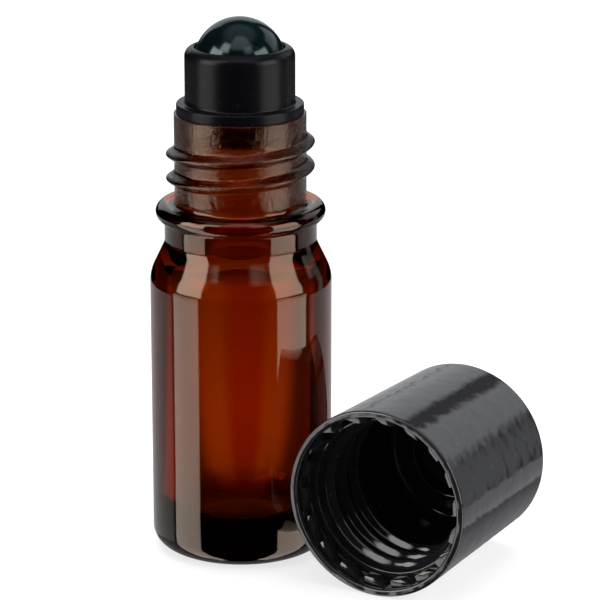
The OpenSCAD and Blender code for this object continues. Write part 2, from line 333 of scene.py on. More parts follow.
def finish_piece(bm, name, body, node, material):
    """Makes the mesh an object in the scene that stands for a node of the frame."""
    for edge in bm.edges:
        edge.smooth = not edge.is_manifold or edge.calc_face_angle() < SHARP_ANGLE
    for face in bm.faces:
        face.smooth = True
    mesh = bpy.data.meshes.new(name)
    bm.to_mesh(mesh)
    bm.free()
    mesh.materials.append(material)
    piece = bpy.data.objects.new(name, mesh)
    bpy.context.scene.collection.objects.link(piece)
    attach(piece, body)
    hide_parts(node)
    return piece


def bottle_outline(s):
    """The glass in section, from the middle of the hollow base round to the chamber's floor,
    and the height of the neck's foot."""
    slope = math.degrees(s.shoulder_slope)
    tan_slope = math.tan(s.shoulder_slope)
    shoulder_end = s.body_radius - s.shoulder_round * (1 - math.cos(s.shoulder_slope))
    shoulder_top = s.body_height + s.shoulder_round * math.sin(s.shoulder_slope)
    collar_z = shoulder_top + (shoulder_end - s.collar_radius) / tan_slope
    bead_z = collar_z + s.collar_height
    bead_middle = s.bead_radius - s.bead_round
    bead_low = -math.degrees(math.acos((s.collar_radius - bead_middle) / s.bead_round))
    top = s.mouth_height
    corner, mouth = s.base_corner, s.mouth_round
    slope_in = s.punt_radius - s.punt_depth

    outside = [(0, s.punt_depth)]
    outside += line((slope_in, s.punt_depth), (s.punt_radius, 0), 0.2 * MM)
    outside += line((s.punt_radius, 0), (s.body_radius - corner, 0), 0.4 * MM)
    outside += arc(s.body_radius - corner, corner, corner, -90, 0, 12)
    outside += line((s.body_radius, corner), (s.body_radius, s.body_height), 2 * MM)
    outside += arc(s.body_radius - s.shoulder_round, s.body_height, s.shoulder_round, 0, slope)
    outside += line((shoulder_end, shoulder_top), (s.collar_radius, collar_z), 0.5 * MM)
    bead = arc(bead_middle, bead_z, s.bead_round, bead_low, BEAD_END, 24)
    outside += line((s.collar_radius, collar_z), bead[0], 0.25 * MM) + bead
    neck_foot = (s.neck_radius, bead[-1][1] + s.bead_rise)
    outside += line(bead[-1], neck_foot, 0.1 * MM)
    outside += line(neck_foot, (s.neck_radius, top - mouth), 0.1 * MM)
    outside += arc(s.neck_radius - mouth, top - mouth, mouth, 0, 90)
    outside = soften_all(outside, (
        ((s.collar_radius, collar_z), 0.5), (bead[0], 0.3), (bead[-1], 0.25), (neck_foot, 0.45),
    ), 6)

    chamber = s.body_radius - s.wall
    floor = s.punt_depth + s.base_thickness
    dome_z = s.body_height
    both = s.dome_round + s.throat_round
    turned = 1 - math.cos(s.throat_slope)
    straight = (chamber - s.bore_radius - both * turned) / math.sin(s.throat_slope)
    throat_z = dome_z + both * math.sin(s.throat_slope) + straight * math.cos(s.throat_slope)
    throat = math.degrees(s.throat_slope)
    inner = s.chamber_corner
    inside = arc(s.bore_radius + mouth, top - mouth, mouth, 90, 180)
    inside += line((s.bore_radius, top - mouth), (s.bore_radius, throat_z), 1 * MM)
    inside += arc(s.bore_radius + s.throat_round, throat_z, s.throat_round, 180, 180 + throat)
    inside += arc(chamber - s.dome_round, dome_z, s.dome_round, throat, 0)
    inside += line((chamber, dome_z), (chamber, floor + inner), 2 * MM)
    inside += arc(chamber - inner, floor + inner, inner, 0, -90, 12)
    inside += line((chamber - inner, floor), (0, floor), 1 * MM)
    return outside + inside, neck_foot[1]


def make_bottle(s):
    """The glass bottle with its screw thread."""
    points, neck_foot = bottle_outline(s)
    bm = lathe(points)

    def thread(radius, turn, z):
        on_neck = radius > s.neck_radius - s.mouth_round and neck_foot < z < s.mouth_height
        if not on_neck:
            return 0.0
        rise = thread_rise(
            turn - s.thread_middle, z, s.thread_height, s.thread_pitch,
            s.thread_start, s.thread_end, s.thread_width, NECK_RUN_OUT,
        )
        return max(0.0, s.neck_radius + s.thread_depth * rise - radius)

    add_ring(bm, thread)
    return bm


def fitment_outline(s, mouth, bore):
    """The fitment in section, a closed ring from its flange up over the lip and down inside,
    with the height of the ball's middle and the radius of the cage."""
    cage = s.ball_radius + s.play
    housing = cage + s.cage_wall
    ball_z = (BALL_LOW.z + BALL_HIGH.z) / 2
    lip_z = ball_z + s.lip_rise
    flange_top = mouth + s.flange_height
    lip_turn = math.degrees(math.asin((s.lip_rise - s.lip_chamfer) / cage))
    feed_turn = -math.degrees(math.acos(s.feed_radius / cage))
    seat_floor = ball_z - cage - s.seat_thickness
    fin = bore - s.fin_play
    plug = fin - s.fin_depth
    plug_in, plug_tip = plug - s.plug_wall, plug - s.fin_depth
    last_fin = mouth - s.fin_start - (s.fins - 1) * s.fin_pitch
    plug_z = FITMENT_LOW.z
    foot, edge = s.foot_round, s.flange_round
    lip_edge = housing - s.lip_round

    points = line((plug, mouth), (s.flange_radius, mouth), 0.3 * MM)
    points += line((s.flange_radius, mouth), (s.flange_radius, flange_top - edge), 0.15 * MM)
    points += arc(s.flange_radius - edge, flange_top - edge, edge, 0, 90, 6)
    points += line((s.flange_radius - edge, flange_top), (housing + foot, flange_top), 0.1 * MM)
    points += arc(housing + foot, flange_top + foot, foot, 270, 180, 6)
    points += line((housing, flange_top + foot), (housing, lip_z - s.lip_round), 0.5 * MM)
    points += arc(lip_edge, lip_z - s.lip_round, s.lip_round, 0, 90, 12)
    inside = arc(0, ball_z, cage, lip_turn, feed_turn, 40)
    points += line((lip_edge, lip_z), inside[0], 0.1 * MM) + inside
    points += line(inside[-1], (s.feed_radius, seat_floor), 0.3 * MM)
    points += line((s.feed_radius, seat_floor), (plug_in, seat_floor), 0.5 * MM)
    points += line((plug_in, seat_floor), (plug_in, plug_z), 0.5 * MM)
    points += line((plug_in, plug_z), (plug_tip, plug_z), 0.2 * MM)
    points += [(plug, plug_z + s.fin_depth)]
    for i in range(s.fins):
        z = last_fin + i * s.fin_pitch
        points += [(plug, z - s.fin_depth), (fin, z), (plug, z + s.fin_depth)]
    points = soften_all(points, (
        ((s.flange_radius, mouth), 0.12), ((lip_edge, lip_z), 0.12), (inside[0], 0.1),
        (inside[-1], 0.1), ((s.feed_radius, seat_floor), 0.1), ((plug_in, plug_z), 0.1),
        ((plug_tip, plug_z), 0.1), ((plug_in, seat_floor), 0.2),
    ), 4)
    return points, ball_z, cage


def make_fitment(s, bottle):
    """The fitment with the feed ways pressed into its seat."""
    points, ball_z, cage = fitment_outline(s, bottle.mouth_height, bottle.bore_radius)
    bm = lathe(points, closed=True)
    way_top = ball_z - s.feed_way_drop
    step = math.tau / s.feed_ways

    def feed_way(radius, turn, z):
        off = radius * math.sin((turn + step / 2) % step - step / 2)
        on_seat = abs(math.hypot(radius, z - ball_z) - cage) < ON_SURFACE
        if not on_seat or z > way_top or abs(off) > s.feed_way_width / 2:
            return 0.0
        return math.sqrt((cage + s.feed_way_depth) ** 2 - (z - ball_z) ** 2) - radius

    add_ring(bm, feed_way)
    return bm


def make_ball(s):
    """The ball, with small even faces and no poles."""
    bm = bmesh.new()
    bmesh.ops.create_icosphere(bm, subdivisions=6, radius=s.ball_radius)
    middle = (BALL_LOW + BALL_HIGH) / 2
    bmesh.ops.translate(bm, verts=bm.verts, vec=middle)
    return bm


def cap_outline(s):
    """The cap in section, from the middle of its closed end down to the mouth and back inside,
    with the radius of the rim's bore and the heights of the groove's end, ledge and ceiling."""
    draft = math.degrees(s.draft)
    rim_in = s.radius - s.rim_wall
    top_radius = s.radius - s.height * math.tan(s.draft)
    groove_end = s.rim_height + s.groove_height
    teeth_end = groove_end + s.tooth_height
    ledge = teeth_end + s.ledge_gap
    ceiling = s.height - s.top_thickness
    edge, top = s.rim_round, s.top_round
    outer = s.seal_radius + s.seal_wall / 2
    inner = s.seal_radius - s.seal_wall / 2
    seal_end = ceiling - s.seal_height + s.seal_wall / 2
    groove = rim_in + s.groove_depth
    bore, round_in = s.bore_radius, s.ceiling_round
    side_low = arc(s.radius - edge, edge, edge, -90, -draft, 6)
    side_high = arc(top_radius - top, s.height - top, top, -draft, 90)

    points = line((0, s.height), side_high[-1], 0.8 * MM) + side_high[::-1]
    points += line(side_high[0], side_low[-1], 0.5 * MM) + side_low[::-1]
    points += line(side_low[0], (rim_in + edge, 0), 0.1 * MM)
    points += arc(rim_in + edge, edge, edge, 270, 180, 6)
    points += line((rim_in, edge), (rim_in, s.rim_height), 0.15 * MM)
    points += line((groove, s.rim_height), (groove, groove_end), 0.15 * MM)
    points += line((rim_in, groove_end), (rim_in, ledge), 0.2 * MM)
    points += line((rim_in, ledge), (bore, ledge), 0.15 * MM)
    points += line((bore, ledge), (bore, ceiling - round_in), 0.12 * MM)
    points += arc(bore - round_in, ceiling - round_in, round_in, 0, 90)
    points += line((bore - round_in, ceiling), (outer, ceiling), 0.3 * MM)
    points += line((outer, ceiling), (outer, seal_end), 0.4 * MM)
    points += arc(s.seal_radius, seal_end, s.seal_wall / 2, 0, -180, 10)
    points += line((inner, seal_end), (inner, ceiling), 0.4 * MM)
    points += line((inner, ceiling), (0, ceiling), 0.6 * MM)
    points = soften_all(points, (
        ((rim_in, s.rim_height), 0.06), ((rim_in, groove_end), 0.06), ((rim_in, ledge), 0.15),
        ((bore, ledge), 0.12), ((outer, ceiling), 0.2), ((inner, ceiling), 0.2),
    ), 4)
    return points, rim_in, groove_end, ledge, ceiling


def add_teeth(bm, s, rim_in, groove_end):
    """The ring of ratchet teeth: steep face, flat top and a ramp back into the wall."""
    root, tip = rim_in + s.rim_wall / 2, rim_in - s.tooth_depth
    pitch = math.tau / s.teeth
    shape = ((root, 0), (tip, 0), (tip, TOOTH_TOP), (root, TOOTH_RAMP))
    for i in range(s.teeth):
        tooth = bmesh.new()
        corners = [(r, share * pitch) for r, share in shape]
        flat = tooth.faces.new([
            tooth.verts.new((r * math.cos(turn), -r * math.sin(turn), groove_end))
            for r, turn in corners
        ])
        raised = bmesh.ops.extrude_face_region(tooth, geom=[flat])["geom"]
        up = [v for v in raised if isinstance(v, bmesh.types.BMVert)]
        bmesh.ops.translate(tooth, verts=up, vec=(0, 0, s.tooth_height))
        bmesh.ops.recalc_face_normals(tooth, faces=tooth.faces)
        bmesh.ops.bevel(
            tooth, geom=tooth.edges[:], offset=s.tooth_bevel, offset_type="OFFSET", segments=2,
            profile=0.5, affect="EDGES", clamp_overlap=True, material=-1,
        )
        bmesh.ops.rotate(
            tooth, verts=tooth.verts, cent=(0, 0, 0), matrix=Matrix.Rotation(i * pitch, 3, "Z")
        )
        part = bpy.data.meshes.new("tooth")
        tooth.to_mesh(part)
        tooth.free()
        bm.from_mesh(part)
        bpy.data.meshes.remove(part)


def cap_place(s):
    """Where the cap lies in the frame: on its side, its mouth towards -y."""
    drop = s.radius * math.sin(s.draft)
    place = Vector((
        (CAP_LOW.x + CAP_HIGH.x) / 2, CAP_LOW.y + drop, CAP_LOW.z + s.radius * math.cos(s.draft)
    ))
    return Matrix.Translation(place) @ Matrix.Rotation(-math.pi / 2 - s.draft, 4, "X")


def make_cap(s):
    """The cap with its inner thread and its ratchet teeth, laid in its place."""
    points, rim_in, groove_end, ledge, ceiling = cap_outline(s)
    bm = lathe(points)

    def thread(radius, turn, z):
        in_bore = abs(radius - s.bore_radius) < ON_SURFACE and ledge < z < ceiling
        if not in_bore:
            return 0.0
        return -s.thread_depth * thread_rise(
            turn, z, s.thread_height, s.thread_pitch, 0.0, s.thread_turn, s.thread_width,
            CAP_RUN_OUT,
        )

    add_ring(bm, thread)
    add_teeth(bm, s, rim_in, groove_end)
    bmesh.ops.transform(bm, matrix=cap_place(s), verts=bm.verts)
    return bm


# ---- Materials

# Size of the smears and specks, and the noise at which a speck sets in and is full
SMEARS_PER_METRE, SPECKS_PER_METRE = 170.0, 1500.0
SPECK_FROM, SPECK_FULL = 0.66, 0.74
# Tint of what the amber glass mirrors
GLASS_SHINE = (1.0, 0.76, 0.58)
# The neck's grain: its height, its roughness and the height over which it sets in
NECK_GRAIN, NECK_ROUGHNESS, GRAIN_FADE = 0.14 * MM, 0.03, 2 * MM
# How much brighter than the plain plastic the specks are
BLACK_SPECKS, BALL_SPECKS = 2.2, 1.6


def group(name, inputs, outputs):
    """A new shader node group with these named sockets, and its nodes for input and output."""
    tree = bpy.data.node_groups.new(name, "ShaderNodeTree")
    for label, kind, value in inputs:
        socket = tree.interface.new_socket(name=label, in_out="INPUT", socket_type=kind)
        if value is not None:
            socket.default_value = value
    for label, kind in outputs:
        tree.interface.new_socket(name=label, in_out="OUTPUT", socket_type=kind)
    return tree, tree.nodes.new("NodeGroupInput"), tree.nodes.new("NodeGroupOutput")


def maths(tree, operation, first, second=None, third=None):
    """A Math node fed by sockets or numbers, and its result."""
    node = tree.nodes.new("ShaderNodeMath")
    node.operation = operation
    for i, value in enumerate((first, second, third)):
        if isinstance(value, bpy.types.NodeSocket):
            tree.links.new(value, node.inputs[i])
        elif value is not None:
            node.inputs[i].default_value = value
    return node.outputs[0]


def blend(tree, share, first, second):
    """A Mix node between two colours, each a socket or a value."""
    mix = tree.nodes.new("ShaderNodeMix")
    mix.data_type = "RGBA"
    tree.links.new(share, mix.inputs["Factor"])
    for label, value in (("A", first), ("B", second)):
        if isinstance(value, bpy.types.NodeSocket):
            tree.links.new(value, mix.inputs[label])
        else:
            mix.inputs[label].default_value = (*value, 1.0)
    return mix.outputs["Result"]


def noise(tree, vector, scale, detail, roughness=0.5):
    """A Noise Texture's value, with its scale from a socket or a number."""
    node = tree.nodes.new("ShaderNodeTexNoise")
    node.inputs["Detail"].default_value = detail
    node.inputs["Roughness"].default_value = roughness
    tree.links.new(vector, node.inputs["Vector"])
    if isinstance(scale, bpy.types.NodeSocket):
        tree.links.new(scale, node.inputs["Scale"])
    else:
        node.inputs["Scale"].default_value = scale
    return node.outputs[0]


def surface_waves():
    """Height of the slow waves and the fine grain that moulding leaves, in metres."""
    tree = bpy.data.node_groups.get("surface_waves")
    if tree:
        return tree
    tree, inside, out = group(
        "surface_waves",
        [
            ("Vector", "NodeSocketVector", None),
            ("Waves per Metre", "NodeSocketFloat", 300.0),
            ("Wave Height", "NodeSocketFloat", 0.0),
            ("Grains per Metre", "NodeSocketFloat", 6000.0),
            ("Grain Height", "NodeSocketFloat", 0.0),
        ],
        [("Height", "NodeSocketFloat")],
    )
    wave = noise(tree, inside.outputs["Vector"], inside.outputs["Waves per Metre"], 1.0)
    grain = noise(tree, inside.outputs["Vector"], inside.outputs["Grains per Metre"], 3.0, 0.6)
    waves = maths(tree, "MULTIPLY", wave, inside.outputs["Wave Height"])
    both = maths(tree, "MULTIPLY_ADD", grain, inside.outputs["Grain Height"], waves)
    tree.links.new(both, out.inputs["Height"])
    return tree


def handling_marks():
    """Roughness that faint smears and fine rubbed specks make uneven."""
    tree = bpy.data.node_groups.get("handling_marks")
    if tree:
        return tree
    tree, inside, out = group(
        "handling_marks",
        [
            ("Vector", "NodeSocketVector", None),
            ("Roughness", "NodeSocketFloat", 0.2),
            ("Smears", "NodeSocketFloat", 0.03),
            ("Specks", "NodeSocketFloat", 0.1),
        ],
        [("Roughness", "NodeSocketFloat"), ("Marks", "NodeSocketFloat")],
    )
    smear = noise(tree, inside.outputs["Vector"], SMEARS_PER_METRE, 3.0)
    speck = noise(tree, inside.outputs["Vector"], SPECKS_PER_METRE, 2.0)
    few = tree.nodes.new("ShaderNodeMapRange")
    few.interpolation_type = "SMOOTHSTEP"
    few.inputs["From Min"].default_value = SPECK_FROM
    few.inputs["From Max"].default_value = SPECK_FULL
    tree.links.new(speck, few.inputs["Value"])
    smears = maths(tree, "SUBTRACT", smear, 0.5)
    rough = inside.outputs["Roughness"]
    rough = maths(tree, "MULTIPLY_ADD", smears, inside.outputs["Smears"], rough)
    rough = maths(tree, "MULTIPLY_ADD", few.outputs[0], inside.outputs["Specks"], rough)
    tree.links.new(rough, out.inputs["Roughness"])
    tree.links.new(few.outputs[0], out.inputs["Marks"])
    return tree


def new_material(name, tint, waves, marks):
    """A material whose shader takes its roughness and bump from the two shared groups, with
    its nodes that the finishes still set."""
    material = bpy.data.materials.new(name)
    material.use_nodes = True
    tree = material.node_tree
    shader = tree.nodes["Principled BSDF"]
    shader.inputs["Base Color"].default_value = (*tint, 1.0)
    place = tree.nodes.new("ShaderNodeTexCoord").outputs["Object"]

    relief = tree.nodes.new("ShaderNodeGroup")
    relief.node_tree = surface_waves()
    wear = tree.nodes.new("ShaderNodeGroup")
    wear.node_tree = handling_marks()
    for node, values in ((relief, waves), (wear, marks)):
        tree.links.new(place, node.inputs["Vector"])
        for label, value in values.items():
            node.inputs[label].default_value = value
    bump = tree.nodes.new("ShaderNodeBump")
    bump.inputs["Strength"].default_value = 1.0
    bump.inputs["Distance"].default_value = 1.0
    tree.links.new(relief.outputs["Height"], bump.inputs["Height"])
    tree.links.new(bump.outputs["Normal"], shader.inputs["Normal"])
    tree.links.new(wear.outputs["Roughness"], shader.inputs["Roughness"])
    return SimpleNamespace(material=material, tree=tree, shader=shader, relief=relief, wear=wear)


def tint_by_marks(made, tint, brighter):
    """Lets the marks show in the base colour, which is this much brighter on them."""
    marked = [brighter * c for c in tint]
    shown = blend(made.tree, made.wear.outputs["Marks"], tint, marked)
    made.tree.links.new(shown, made.shader.inputs["Base Color"])


def rising(tree, height, soft, most):
    """A value that is 0 below a height and grows to its most a little way above it."""
    parts = tree.nodes.new("ShaderNodeSeparateXYZ")
    tree.links.new(tree.nodes.new("ShaderNodeTexCoord").outputs["Object"], parts.inputs[0])
    node = tree.nodes.new("ShaderNodeMapRange")
    node.interpolation_type = "SMOOTHSTEP"
    node.inputs["From Min"].default_value = height
    node.inputs["From Max"].default_value = height + soft
    node.inputs["To Max"].default_value = most
    tree.links.new(parts.outputs["Z"], node.inputs["Value"])
    return node.outputs[0]


def amber_glass(s):
    """Amber glass, which takes light away along its way through the wall."""
    made = new_material(
        "amber_glass", (1.0, 1.0, 1.0),
        {"Waves per Metre": 160.0, "Wave Height": 0.012 * MM, "Grains per Metre": 2000.0},
        {"Roughness": 0.012, "Smears": 0.012, "Specks": 0.0},
    )
    tree, inputs = made.tree, made.shader.inputs
    for most, socket in (
        (NECK_GRAIN, made.relief.inputs["Grain Height"]),
        (NECK_ROUGHNESS, made.wear.inputs["Roughness"]),
    ):
        tree.links.new(rising(tree, s.grain_start, GRAIN_FADE, most), socket)
    inputs["Transmission Weight"].default_value = 1.0
    inputs["IOR"].default_value = 1.52
    inputs["Specular Tint"].default_value = (*GLASS_SHINE, 1.0)
    absorb = tree.nodes.new("ShaderNodeVolumeAbsorption")
    absorb.inputs["Color"].default_value = (*s.tint, 1.0)
    absorb.inputs["Density"].default_value = s.density
    tree.links.new(absorb.outputs["Volume"], tree.nodes["Material Output"].inputs["Volume"])
    return made.material


def fitment_plastic(s):
    """Black polyethylene, smooth but softer in its shine than the ball."""
    made = new_material(
        "fitment_black", s.housing_tint,
        {"Waves per Metre": 500.0, "Wave Height": 0.004 * MM, "Grains per Metre": 9000.0,
         "Grain Height": 0.0004 * MM},
        {"Roughness": 0.27, "Smears": 0.08, "Specks": 0.05},
    )
    made.shader.inputs["Specular IOR Level"].default_value = 0.12
    tint_by_marks(made, s.housing_tint, BLACK_SPECKS)
    return made.material


def ball_plastic(s):
    """The polished ball, very dark green."""
    made = new_material(
        "ball_dark", s.ball_tint,
        {"Waves per Metre": 350.0, "Wave Height": 0.002 * MM, "Grain Height": 0.0},
        {"Roughness": 0.12, "Smears": 0.05, "Specks": 0.06},
    )
    made.shader.inputs["IOR"].default_value = 1.47
    made.shader.inputs["Specular Tint"].default_value = (0.7, 0.95, 1.0, 1.0)
    tint_by_marks(made, s.ball_tint, BALL_SPECKS)
    return made.material


def cap_plastic(s):
    """Black polypropylene with the shallow waves that its thread leaves on the outside."""
    made = new_material(
        "cap_black", s.tint,
        {"Waves per Metre": 420.0, "Wave Height": 0.07 * MM, "Grains per Metre": 8000.0,
         "Grain Height": 0.0004 * MM},
        {"Roughness": 0.06, "Smears": 0.03, "Specks": 0.03},
    )
    tint_by_marks(made, s.tint, BLACK_SPECKS)
    return made.material


# ---- Stage

# Painted light: the floor's glow seen only through the glass, its brightness from near to far,
# and its colours there at the sides and in the painted warm middle
BEHIND_FALL = (40 * MM, 150 * MM, 0.86, 0.2)
BEHIND_SIDES = (1.3, 1.1, 0.9)
PAINTED_WARM_LIGHT = (1.0, 0.22, 0.15)
# Painted shade in dark bands at both sides of that glow, in degrees from straight behind the
# bottle, with its softness and the share of the glow that it takes away
PAINTED_DARK_FROM, PAINTED_DARK_TO, PAINTED_DARK_SOFT, PAINTED_DARK_SHARE = 16, 55, 5, 0.85
# Half the width of the painted warm light in the middle, in place of the bottle's own amber light
# on the floor, and its softness, in degrees
PAINTED_WARM_HALF, PAINTED_WARM_SOFT = 5, 2.5
# Reach of the painted shade round the feet of the pieces in the floor's glow, and how quickly it
# deepens
PAINTED_SHADE_REACH, PAINTED_SHADE_POWER = 45 * MM, 3.0
# The floor's half width, and how far it lies under the pieces
FLOOR_HALF, FLOOR_DROP = 1.5, 0.02 * MM
# Shares of the floor's colour that the lamps light for the camera and through the glass, and the
# glow that the camera sees on top
LIT_SHARE, LIT_BEHIND, FLOOR_GLOW = 0.3, 0.2, (0.74, 0.74, 0.74)
# The world's soft light on everything that doesn't mirror it
WORLD_LIGHT = (0.45, 0.45, 0.45)
# Soft lamps: name, degrees from the camera, degrees up, size in metres and share of the power
LAMPS = (
    ("panel_left", -74, 20, (0.3, 0.5), 0.5),
    ("panel_right", 70, 20, (0.3, 0.5), 1.4),
    ("panel_top", 180, 68, (0.6, 0.6), 2.6),
)
LAMP_DISTANCE = 0.55
# What shines on the glass and the plastic from round the object: from and to, in degrees from
# the camera, bottom and top above the horizon, the softness of both, and the colour
PANELS = (
    (-94, -55, -78, -14.5, 1.5, 0.5, (3.3, 3.3, 3.3)),
    (47.5, 91, -78, -14.5, 1.5, 0.5, (3.3, 3.3, 3.3)),
    (-94, -55, -14.5, -9.5, 1.5, 0.5, (2.5, 2.3, 1.85)),
    (47.5, 91, -14.5, -9.5, 1.5, 0.5, (2.5, 2.3, 1.85)),
    (-86, -50, -6, 34, 2, 1.5, (6.6, 6.2, 6.0)),
    (45, 84, -6, 34, 2, 1.5, (5.0, 4.7, 4.5)),
    (-62, -34, 34, 54, 4, 4, (5.0, 4.8, 4.7)),
    (-34, 46, 44, 80, 8, 5, (1.1, 1.1, 1.1)),
    (16, 40, 34, 48, 6, 5, (1.6, 1.6, 1.6)),
    (-190, 190, 60, 95, 5, 8, (0.35, 0.38, 0.39)),
    (98, 262, -25, -14.4, 3, 1, (0.55, 0.55, 0.56)),
    (115, 126, -14.4, 14, 3, 1, (0.33, 0.34, 0.35)),
    (170, 192, -14.4, 4, 3, 1, (0.55, 0.55, 0.56)),
    (98, 262, -95, -25, 3, 6, (0.3, 0.3, 0.31)),
    (103, 150, 14, 40, 3, 4, (0.9, 0.92, 0.94)),
    (163, 212, 5, 38, 3, 5, (0.72, 0.76, 0.78)),
)


def direction(around, above):
    """The direction at this angle round the bottle, 0 at -y, and this angle above the floor."""
    return Vector((
        math.sin(around) * math.cos(above), -math.cos(around) * math.cos(above), math.sin(above)
    ))


def turned_to_camera(tree, s, coordinates):
    """Coordinates turned so that the camera's side is at -y: as a vector, and as x, y and z."""
    turn = tree.nodes.new("ShaderNodeMapping")
    turn.inputs["Rotation"].default_value = (0, 0, -s.azimuth)
    place = tree.nodes.new("ShaderNodeTexCoord").outputs[coordinates]
    tree.links.new(place, turn.inputs["Vector"])
    parts = tree.nodes.new("ShaderNodeSeparateXYZ")
    tree.links.new(turn.outputs[0], parts.inputs[0])
    return turn.outputs[0], parts.outputs


def light_path(tree):
    """The sockets that say what kind of ray is looking."""
    return tree.nodes.new("ShaderNodeLightPath").outputs


def band(tree, value, low, high, soft):
    """1 where the value lies between low and high degrees, with soft edges."""
    sides = []
    for start, end in ((low - soft, low + soft), (high + soft, high - soft)):
        side = tree.nodes.new("ShaderNodeMapRange")
        side.interpolation_type = "SMOOTHSTEP"
        side.inputs["From Min"].default_value = math.radians(min(start, end))
        side.inputs["From Max"].default_value = math.radians(max(start, end))
        side.inputs["To Min"].default_value = 0.0 if start < end else 1.0
        side.inputs["To Max"].default_value = 1.0 if start < end else 0.0
        tree.links.new(value, side.inputs["Value"])
        sides.append(side.outputs[0])
    return maths(tree, "MULTIPLY", sides[0], sides[1])


def painted_floor_light(tree, s):
    """Painted light and shade that the glass shows of the floor: a glow, bright behind the bottle
    and darker further off, a painted warm light in the middle in place of the bottle's own light,
    painted shade round the feet of the pieces, and painted dark bands at both sides."""
    place, parts = turned_to_camera(tree, s, "Object")
    aside = maths(tree, "ARCTAN2", maths(tree, "ABSOLUTE", parts["X"]), parts["Y"])
    away = tree.nodes.new("ShaderNodeVectorMath")
    away.operation = "LENGTH"
    tree.links.new(place, away.inputs[0])
    fall = tree.nodes.new("ShaderNodeMapRange")
    for label, value in zip(("From Min", "From Max", "To Min", "To Max"), BEHIND_FALL):
        fall.inputs[label].default_value = value
    tree.links.new(away.outputs["Value"], fall.inputs["Value"])
    # Painted shade: ambient occlusion darkens the glow round the feet of the pieces
    corner = tree.nodes.new("ShaderNodeAmbientOcclusion")
    corner.samples = 8
    corner.inputs["Distance"].default_value = PAINTED_SHADE_REACH
    shade = maths(tree, "POWER", corner.outputs["AO"], PAINTED_SHADE_POWER)
    level = maths(tree, "MULTIPLY", fall.outputs[0], shade)
    # Painted shade: dark bands at both sides of the glow
    painted_dark = band(tree, aside, PAINTED_DARK_FROM, PAINTED_DARK_TO, PAINTED_DARK_SOFT)
    painted_dark = maths(tree, "MULTIPLY_ADD", painted_dark, -PAINTED_DARK_SHARE, 1.0)
    # Painted light: a warm band straight behind the bottle, in place of the light that passes
    # through it
    middle = band(tree, aside, -PAINTED_WARM_HALF, PAINTED_WARM_HALF, PAINTED_WARM_SOFT)
    scaled = tree.nodes.new("ShaderNodeVectorMath")
    scaled.operation = "SCALE"
    tree.links.new(blend(tree, middle, BEHIND_SIDES, PAINTED_WARM_LIGHT), scaled.inputs[0])
    tree.links.new(maths(tree, "MULTIPLY", level, painted_dark), scaled.inputs["Scale"])
    return scaled.outputs[0]


def make_floor(s):
    """The pale floor: bright to the camera, and shaded by what stands on it."""
    bm = bmesh.new()
    bmesh.ops.create_grid(bm, x_segments=1, y_segments=1, size=FLOOR_HALF)
    bmesh.ops.translate(bm, verts=bm.verts, vec=(0, 0, -FLOOR_DROP))
    mesh = bpy.data.meshes.new("floor")
    bm.to_mesh(mesh)
    bm.free()
    floor = bpy.data.objects.new("floor", mesh)
    bpy.context.scene.collection.objects.link(floor)
    floor.visible_glossy = False

    material = bpy.data.materials.new("floor_pale")
    material.use_nodes = True
    tree = material.node_tree
    tree.nodes.remove(tree.nodes["Principled BSDF"])
    seen = light_path(tree)
    diffuse = tree.nodes.new("ShaderNodeBsdfDiffuse")
    lit = [c * LIT_SHARE for c in s.floor_tint]
    lit_colour = blend(tree, seen["Is Transmission Ray"], lit, [c * LIT_BEHIND for c in lit])
    tree.links.new(lit_colour, diffuse.inputs["Color"])
    glow = tree.nodes.new("ShaderNodeEmission")
    # Through the glass the floor shows painted light and shade; the camera sees an even glow
    glow_colour = blend(tree, seen["Is Transmission Ray"], (0.0, 0.0, 0.0), painted_floor_light(tree, s))
    glow_colour = blend(tree, seen["Is Camera Ray"], glow_colour, FLOOR_GLOW)
    tree.links.new(glow_colour, glow.inputs["Color"])
    both = tree.nodes.new("ShaderNodeAddShader")
    tree.links.new(diffuse.outputs[0], both.inputs[0])
    tree.links.new(glow.outputs[0], both.inputs[1])
    tree.links.new(both.outputs[0], tree.nodes["Material Output"].inputs["Surface"])
    mesh.materials.append(material)


def make_world(s):
    """White to the camera, and panels of light round the object for what mirrors them."""
    world = bpy.data.worlds.new("studio")
    bpy.context.scene.world = world
    world.use_nodes = True
    tree = world.node_tree
    parts = turned_to_camera(tree, s, "Generated")[1]
    round_about = maths(tree, "ARCTAN2", parts["X"], maths(tree, "MULTIPLY", parts["Y"], -1.0))
    behind = maths(tree, "LESS_THAN", round_about, 0.0)
    on_round = maths(tree, "MULTIPLY_ADD", behind, math.tau, round_about)
    rise = maths(tree, "ARCSINE", parts["Z"])

    light = None
    for low, high, bottom, top, side_soft, end_soft, colour_value in PANELS:
        turned = on_round if high > 180 and low > 0 else round_about
        share = maths(
            tree, "MULTIPLY", band(tree, turned, low, high, side_soft),
            band(tree, rise, bottom, top, end_soft),
        )
        add = tree.nodes.new("ShaderNodeVectorMath")
        add.operation = "MULTIPLY_ADD"
        tree.links.new(share, add.inputs[0])
        add.inputs[1].default_value = colour_value
        if light:
            tree.links.new(light, add.inputs[2])
        light = add.outputs[0]

    seen = light_path(tree)
    mirrored = maths(tree, "MAXIMUM", seen["Is Glossy Ray"], seen["Is Transmission Ray"])
    soft = blend(tree, mirrored, WORLD_LIGHT, light)
    shown = blend(tree, seen["Is Camera Ray"], soft, (1.0, 1.0, 1.0))
    tree.links.new(shown, tree.nodes["Background"].inputs["Color"])
    tree.nodes["Background"].inputs["Strength"].default_value = 1.0


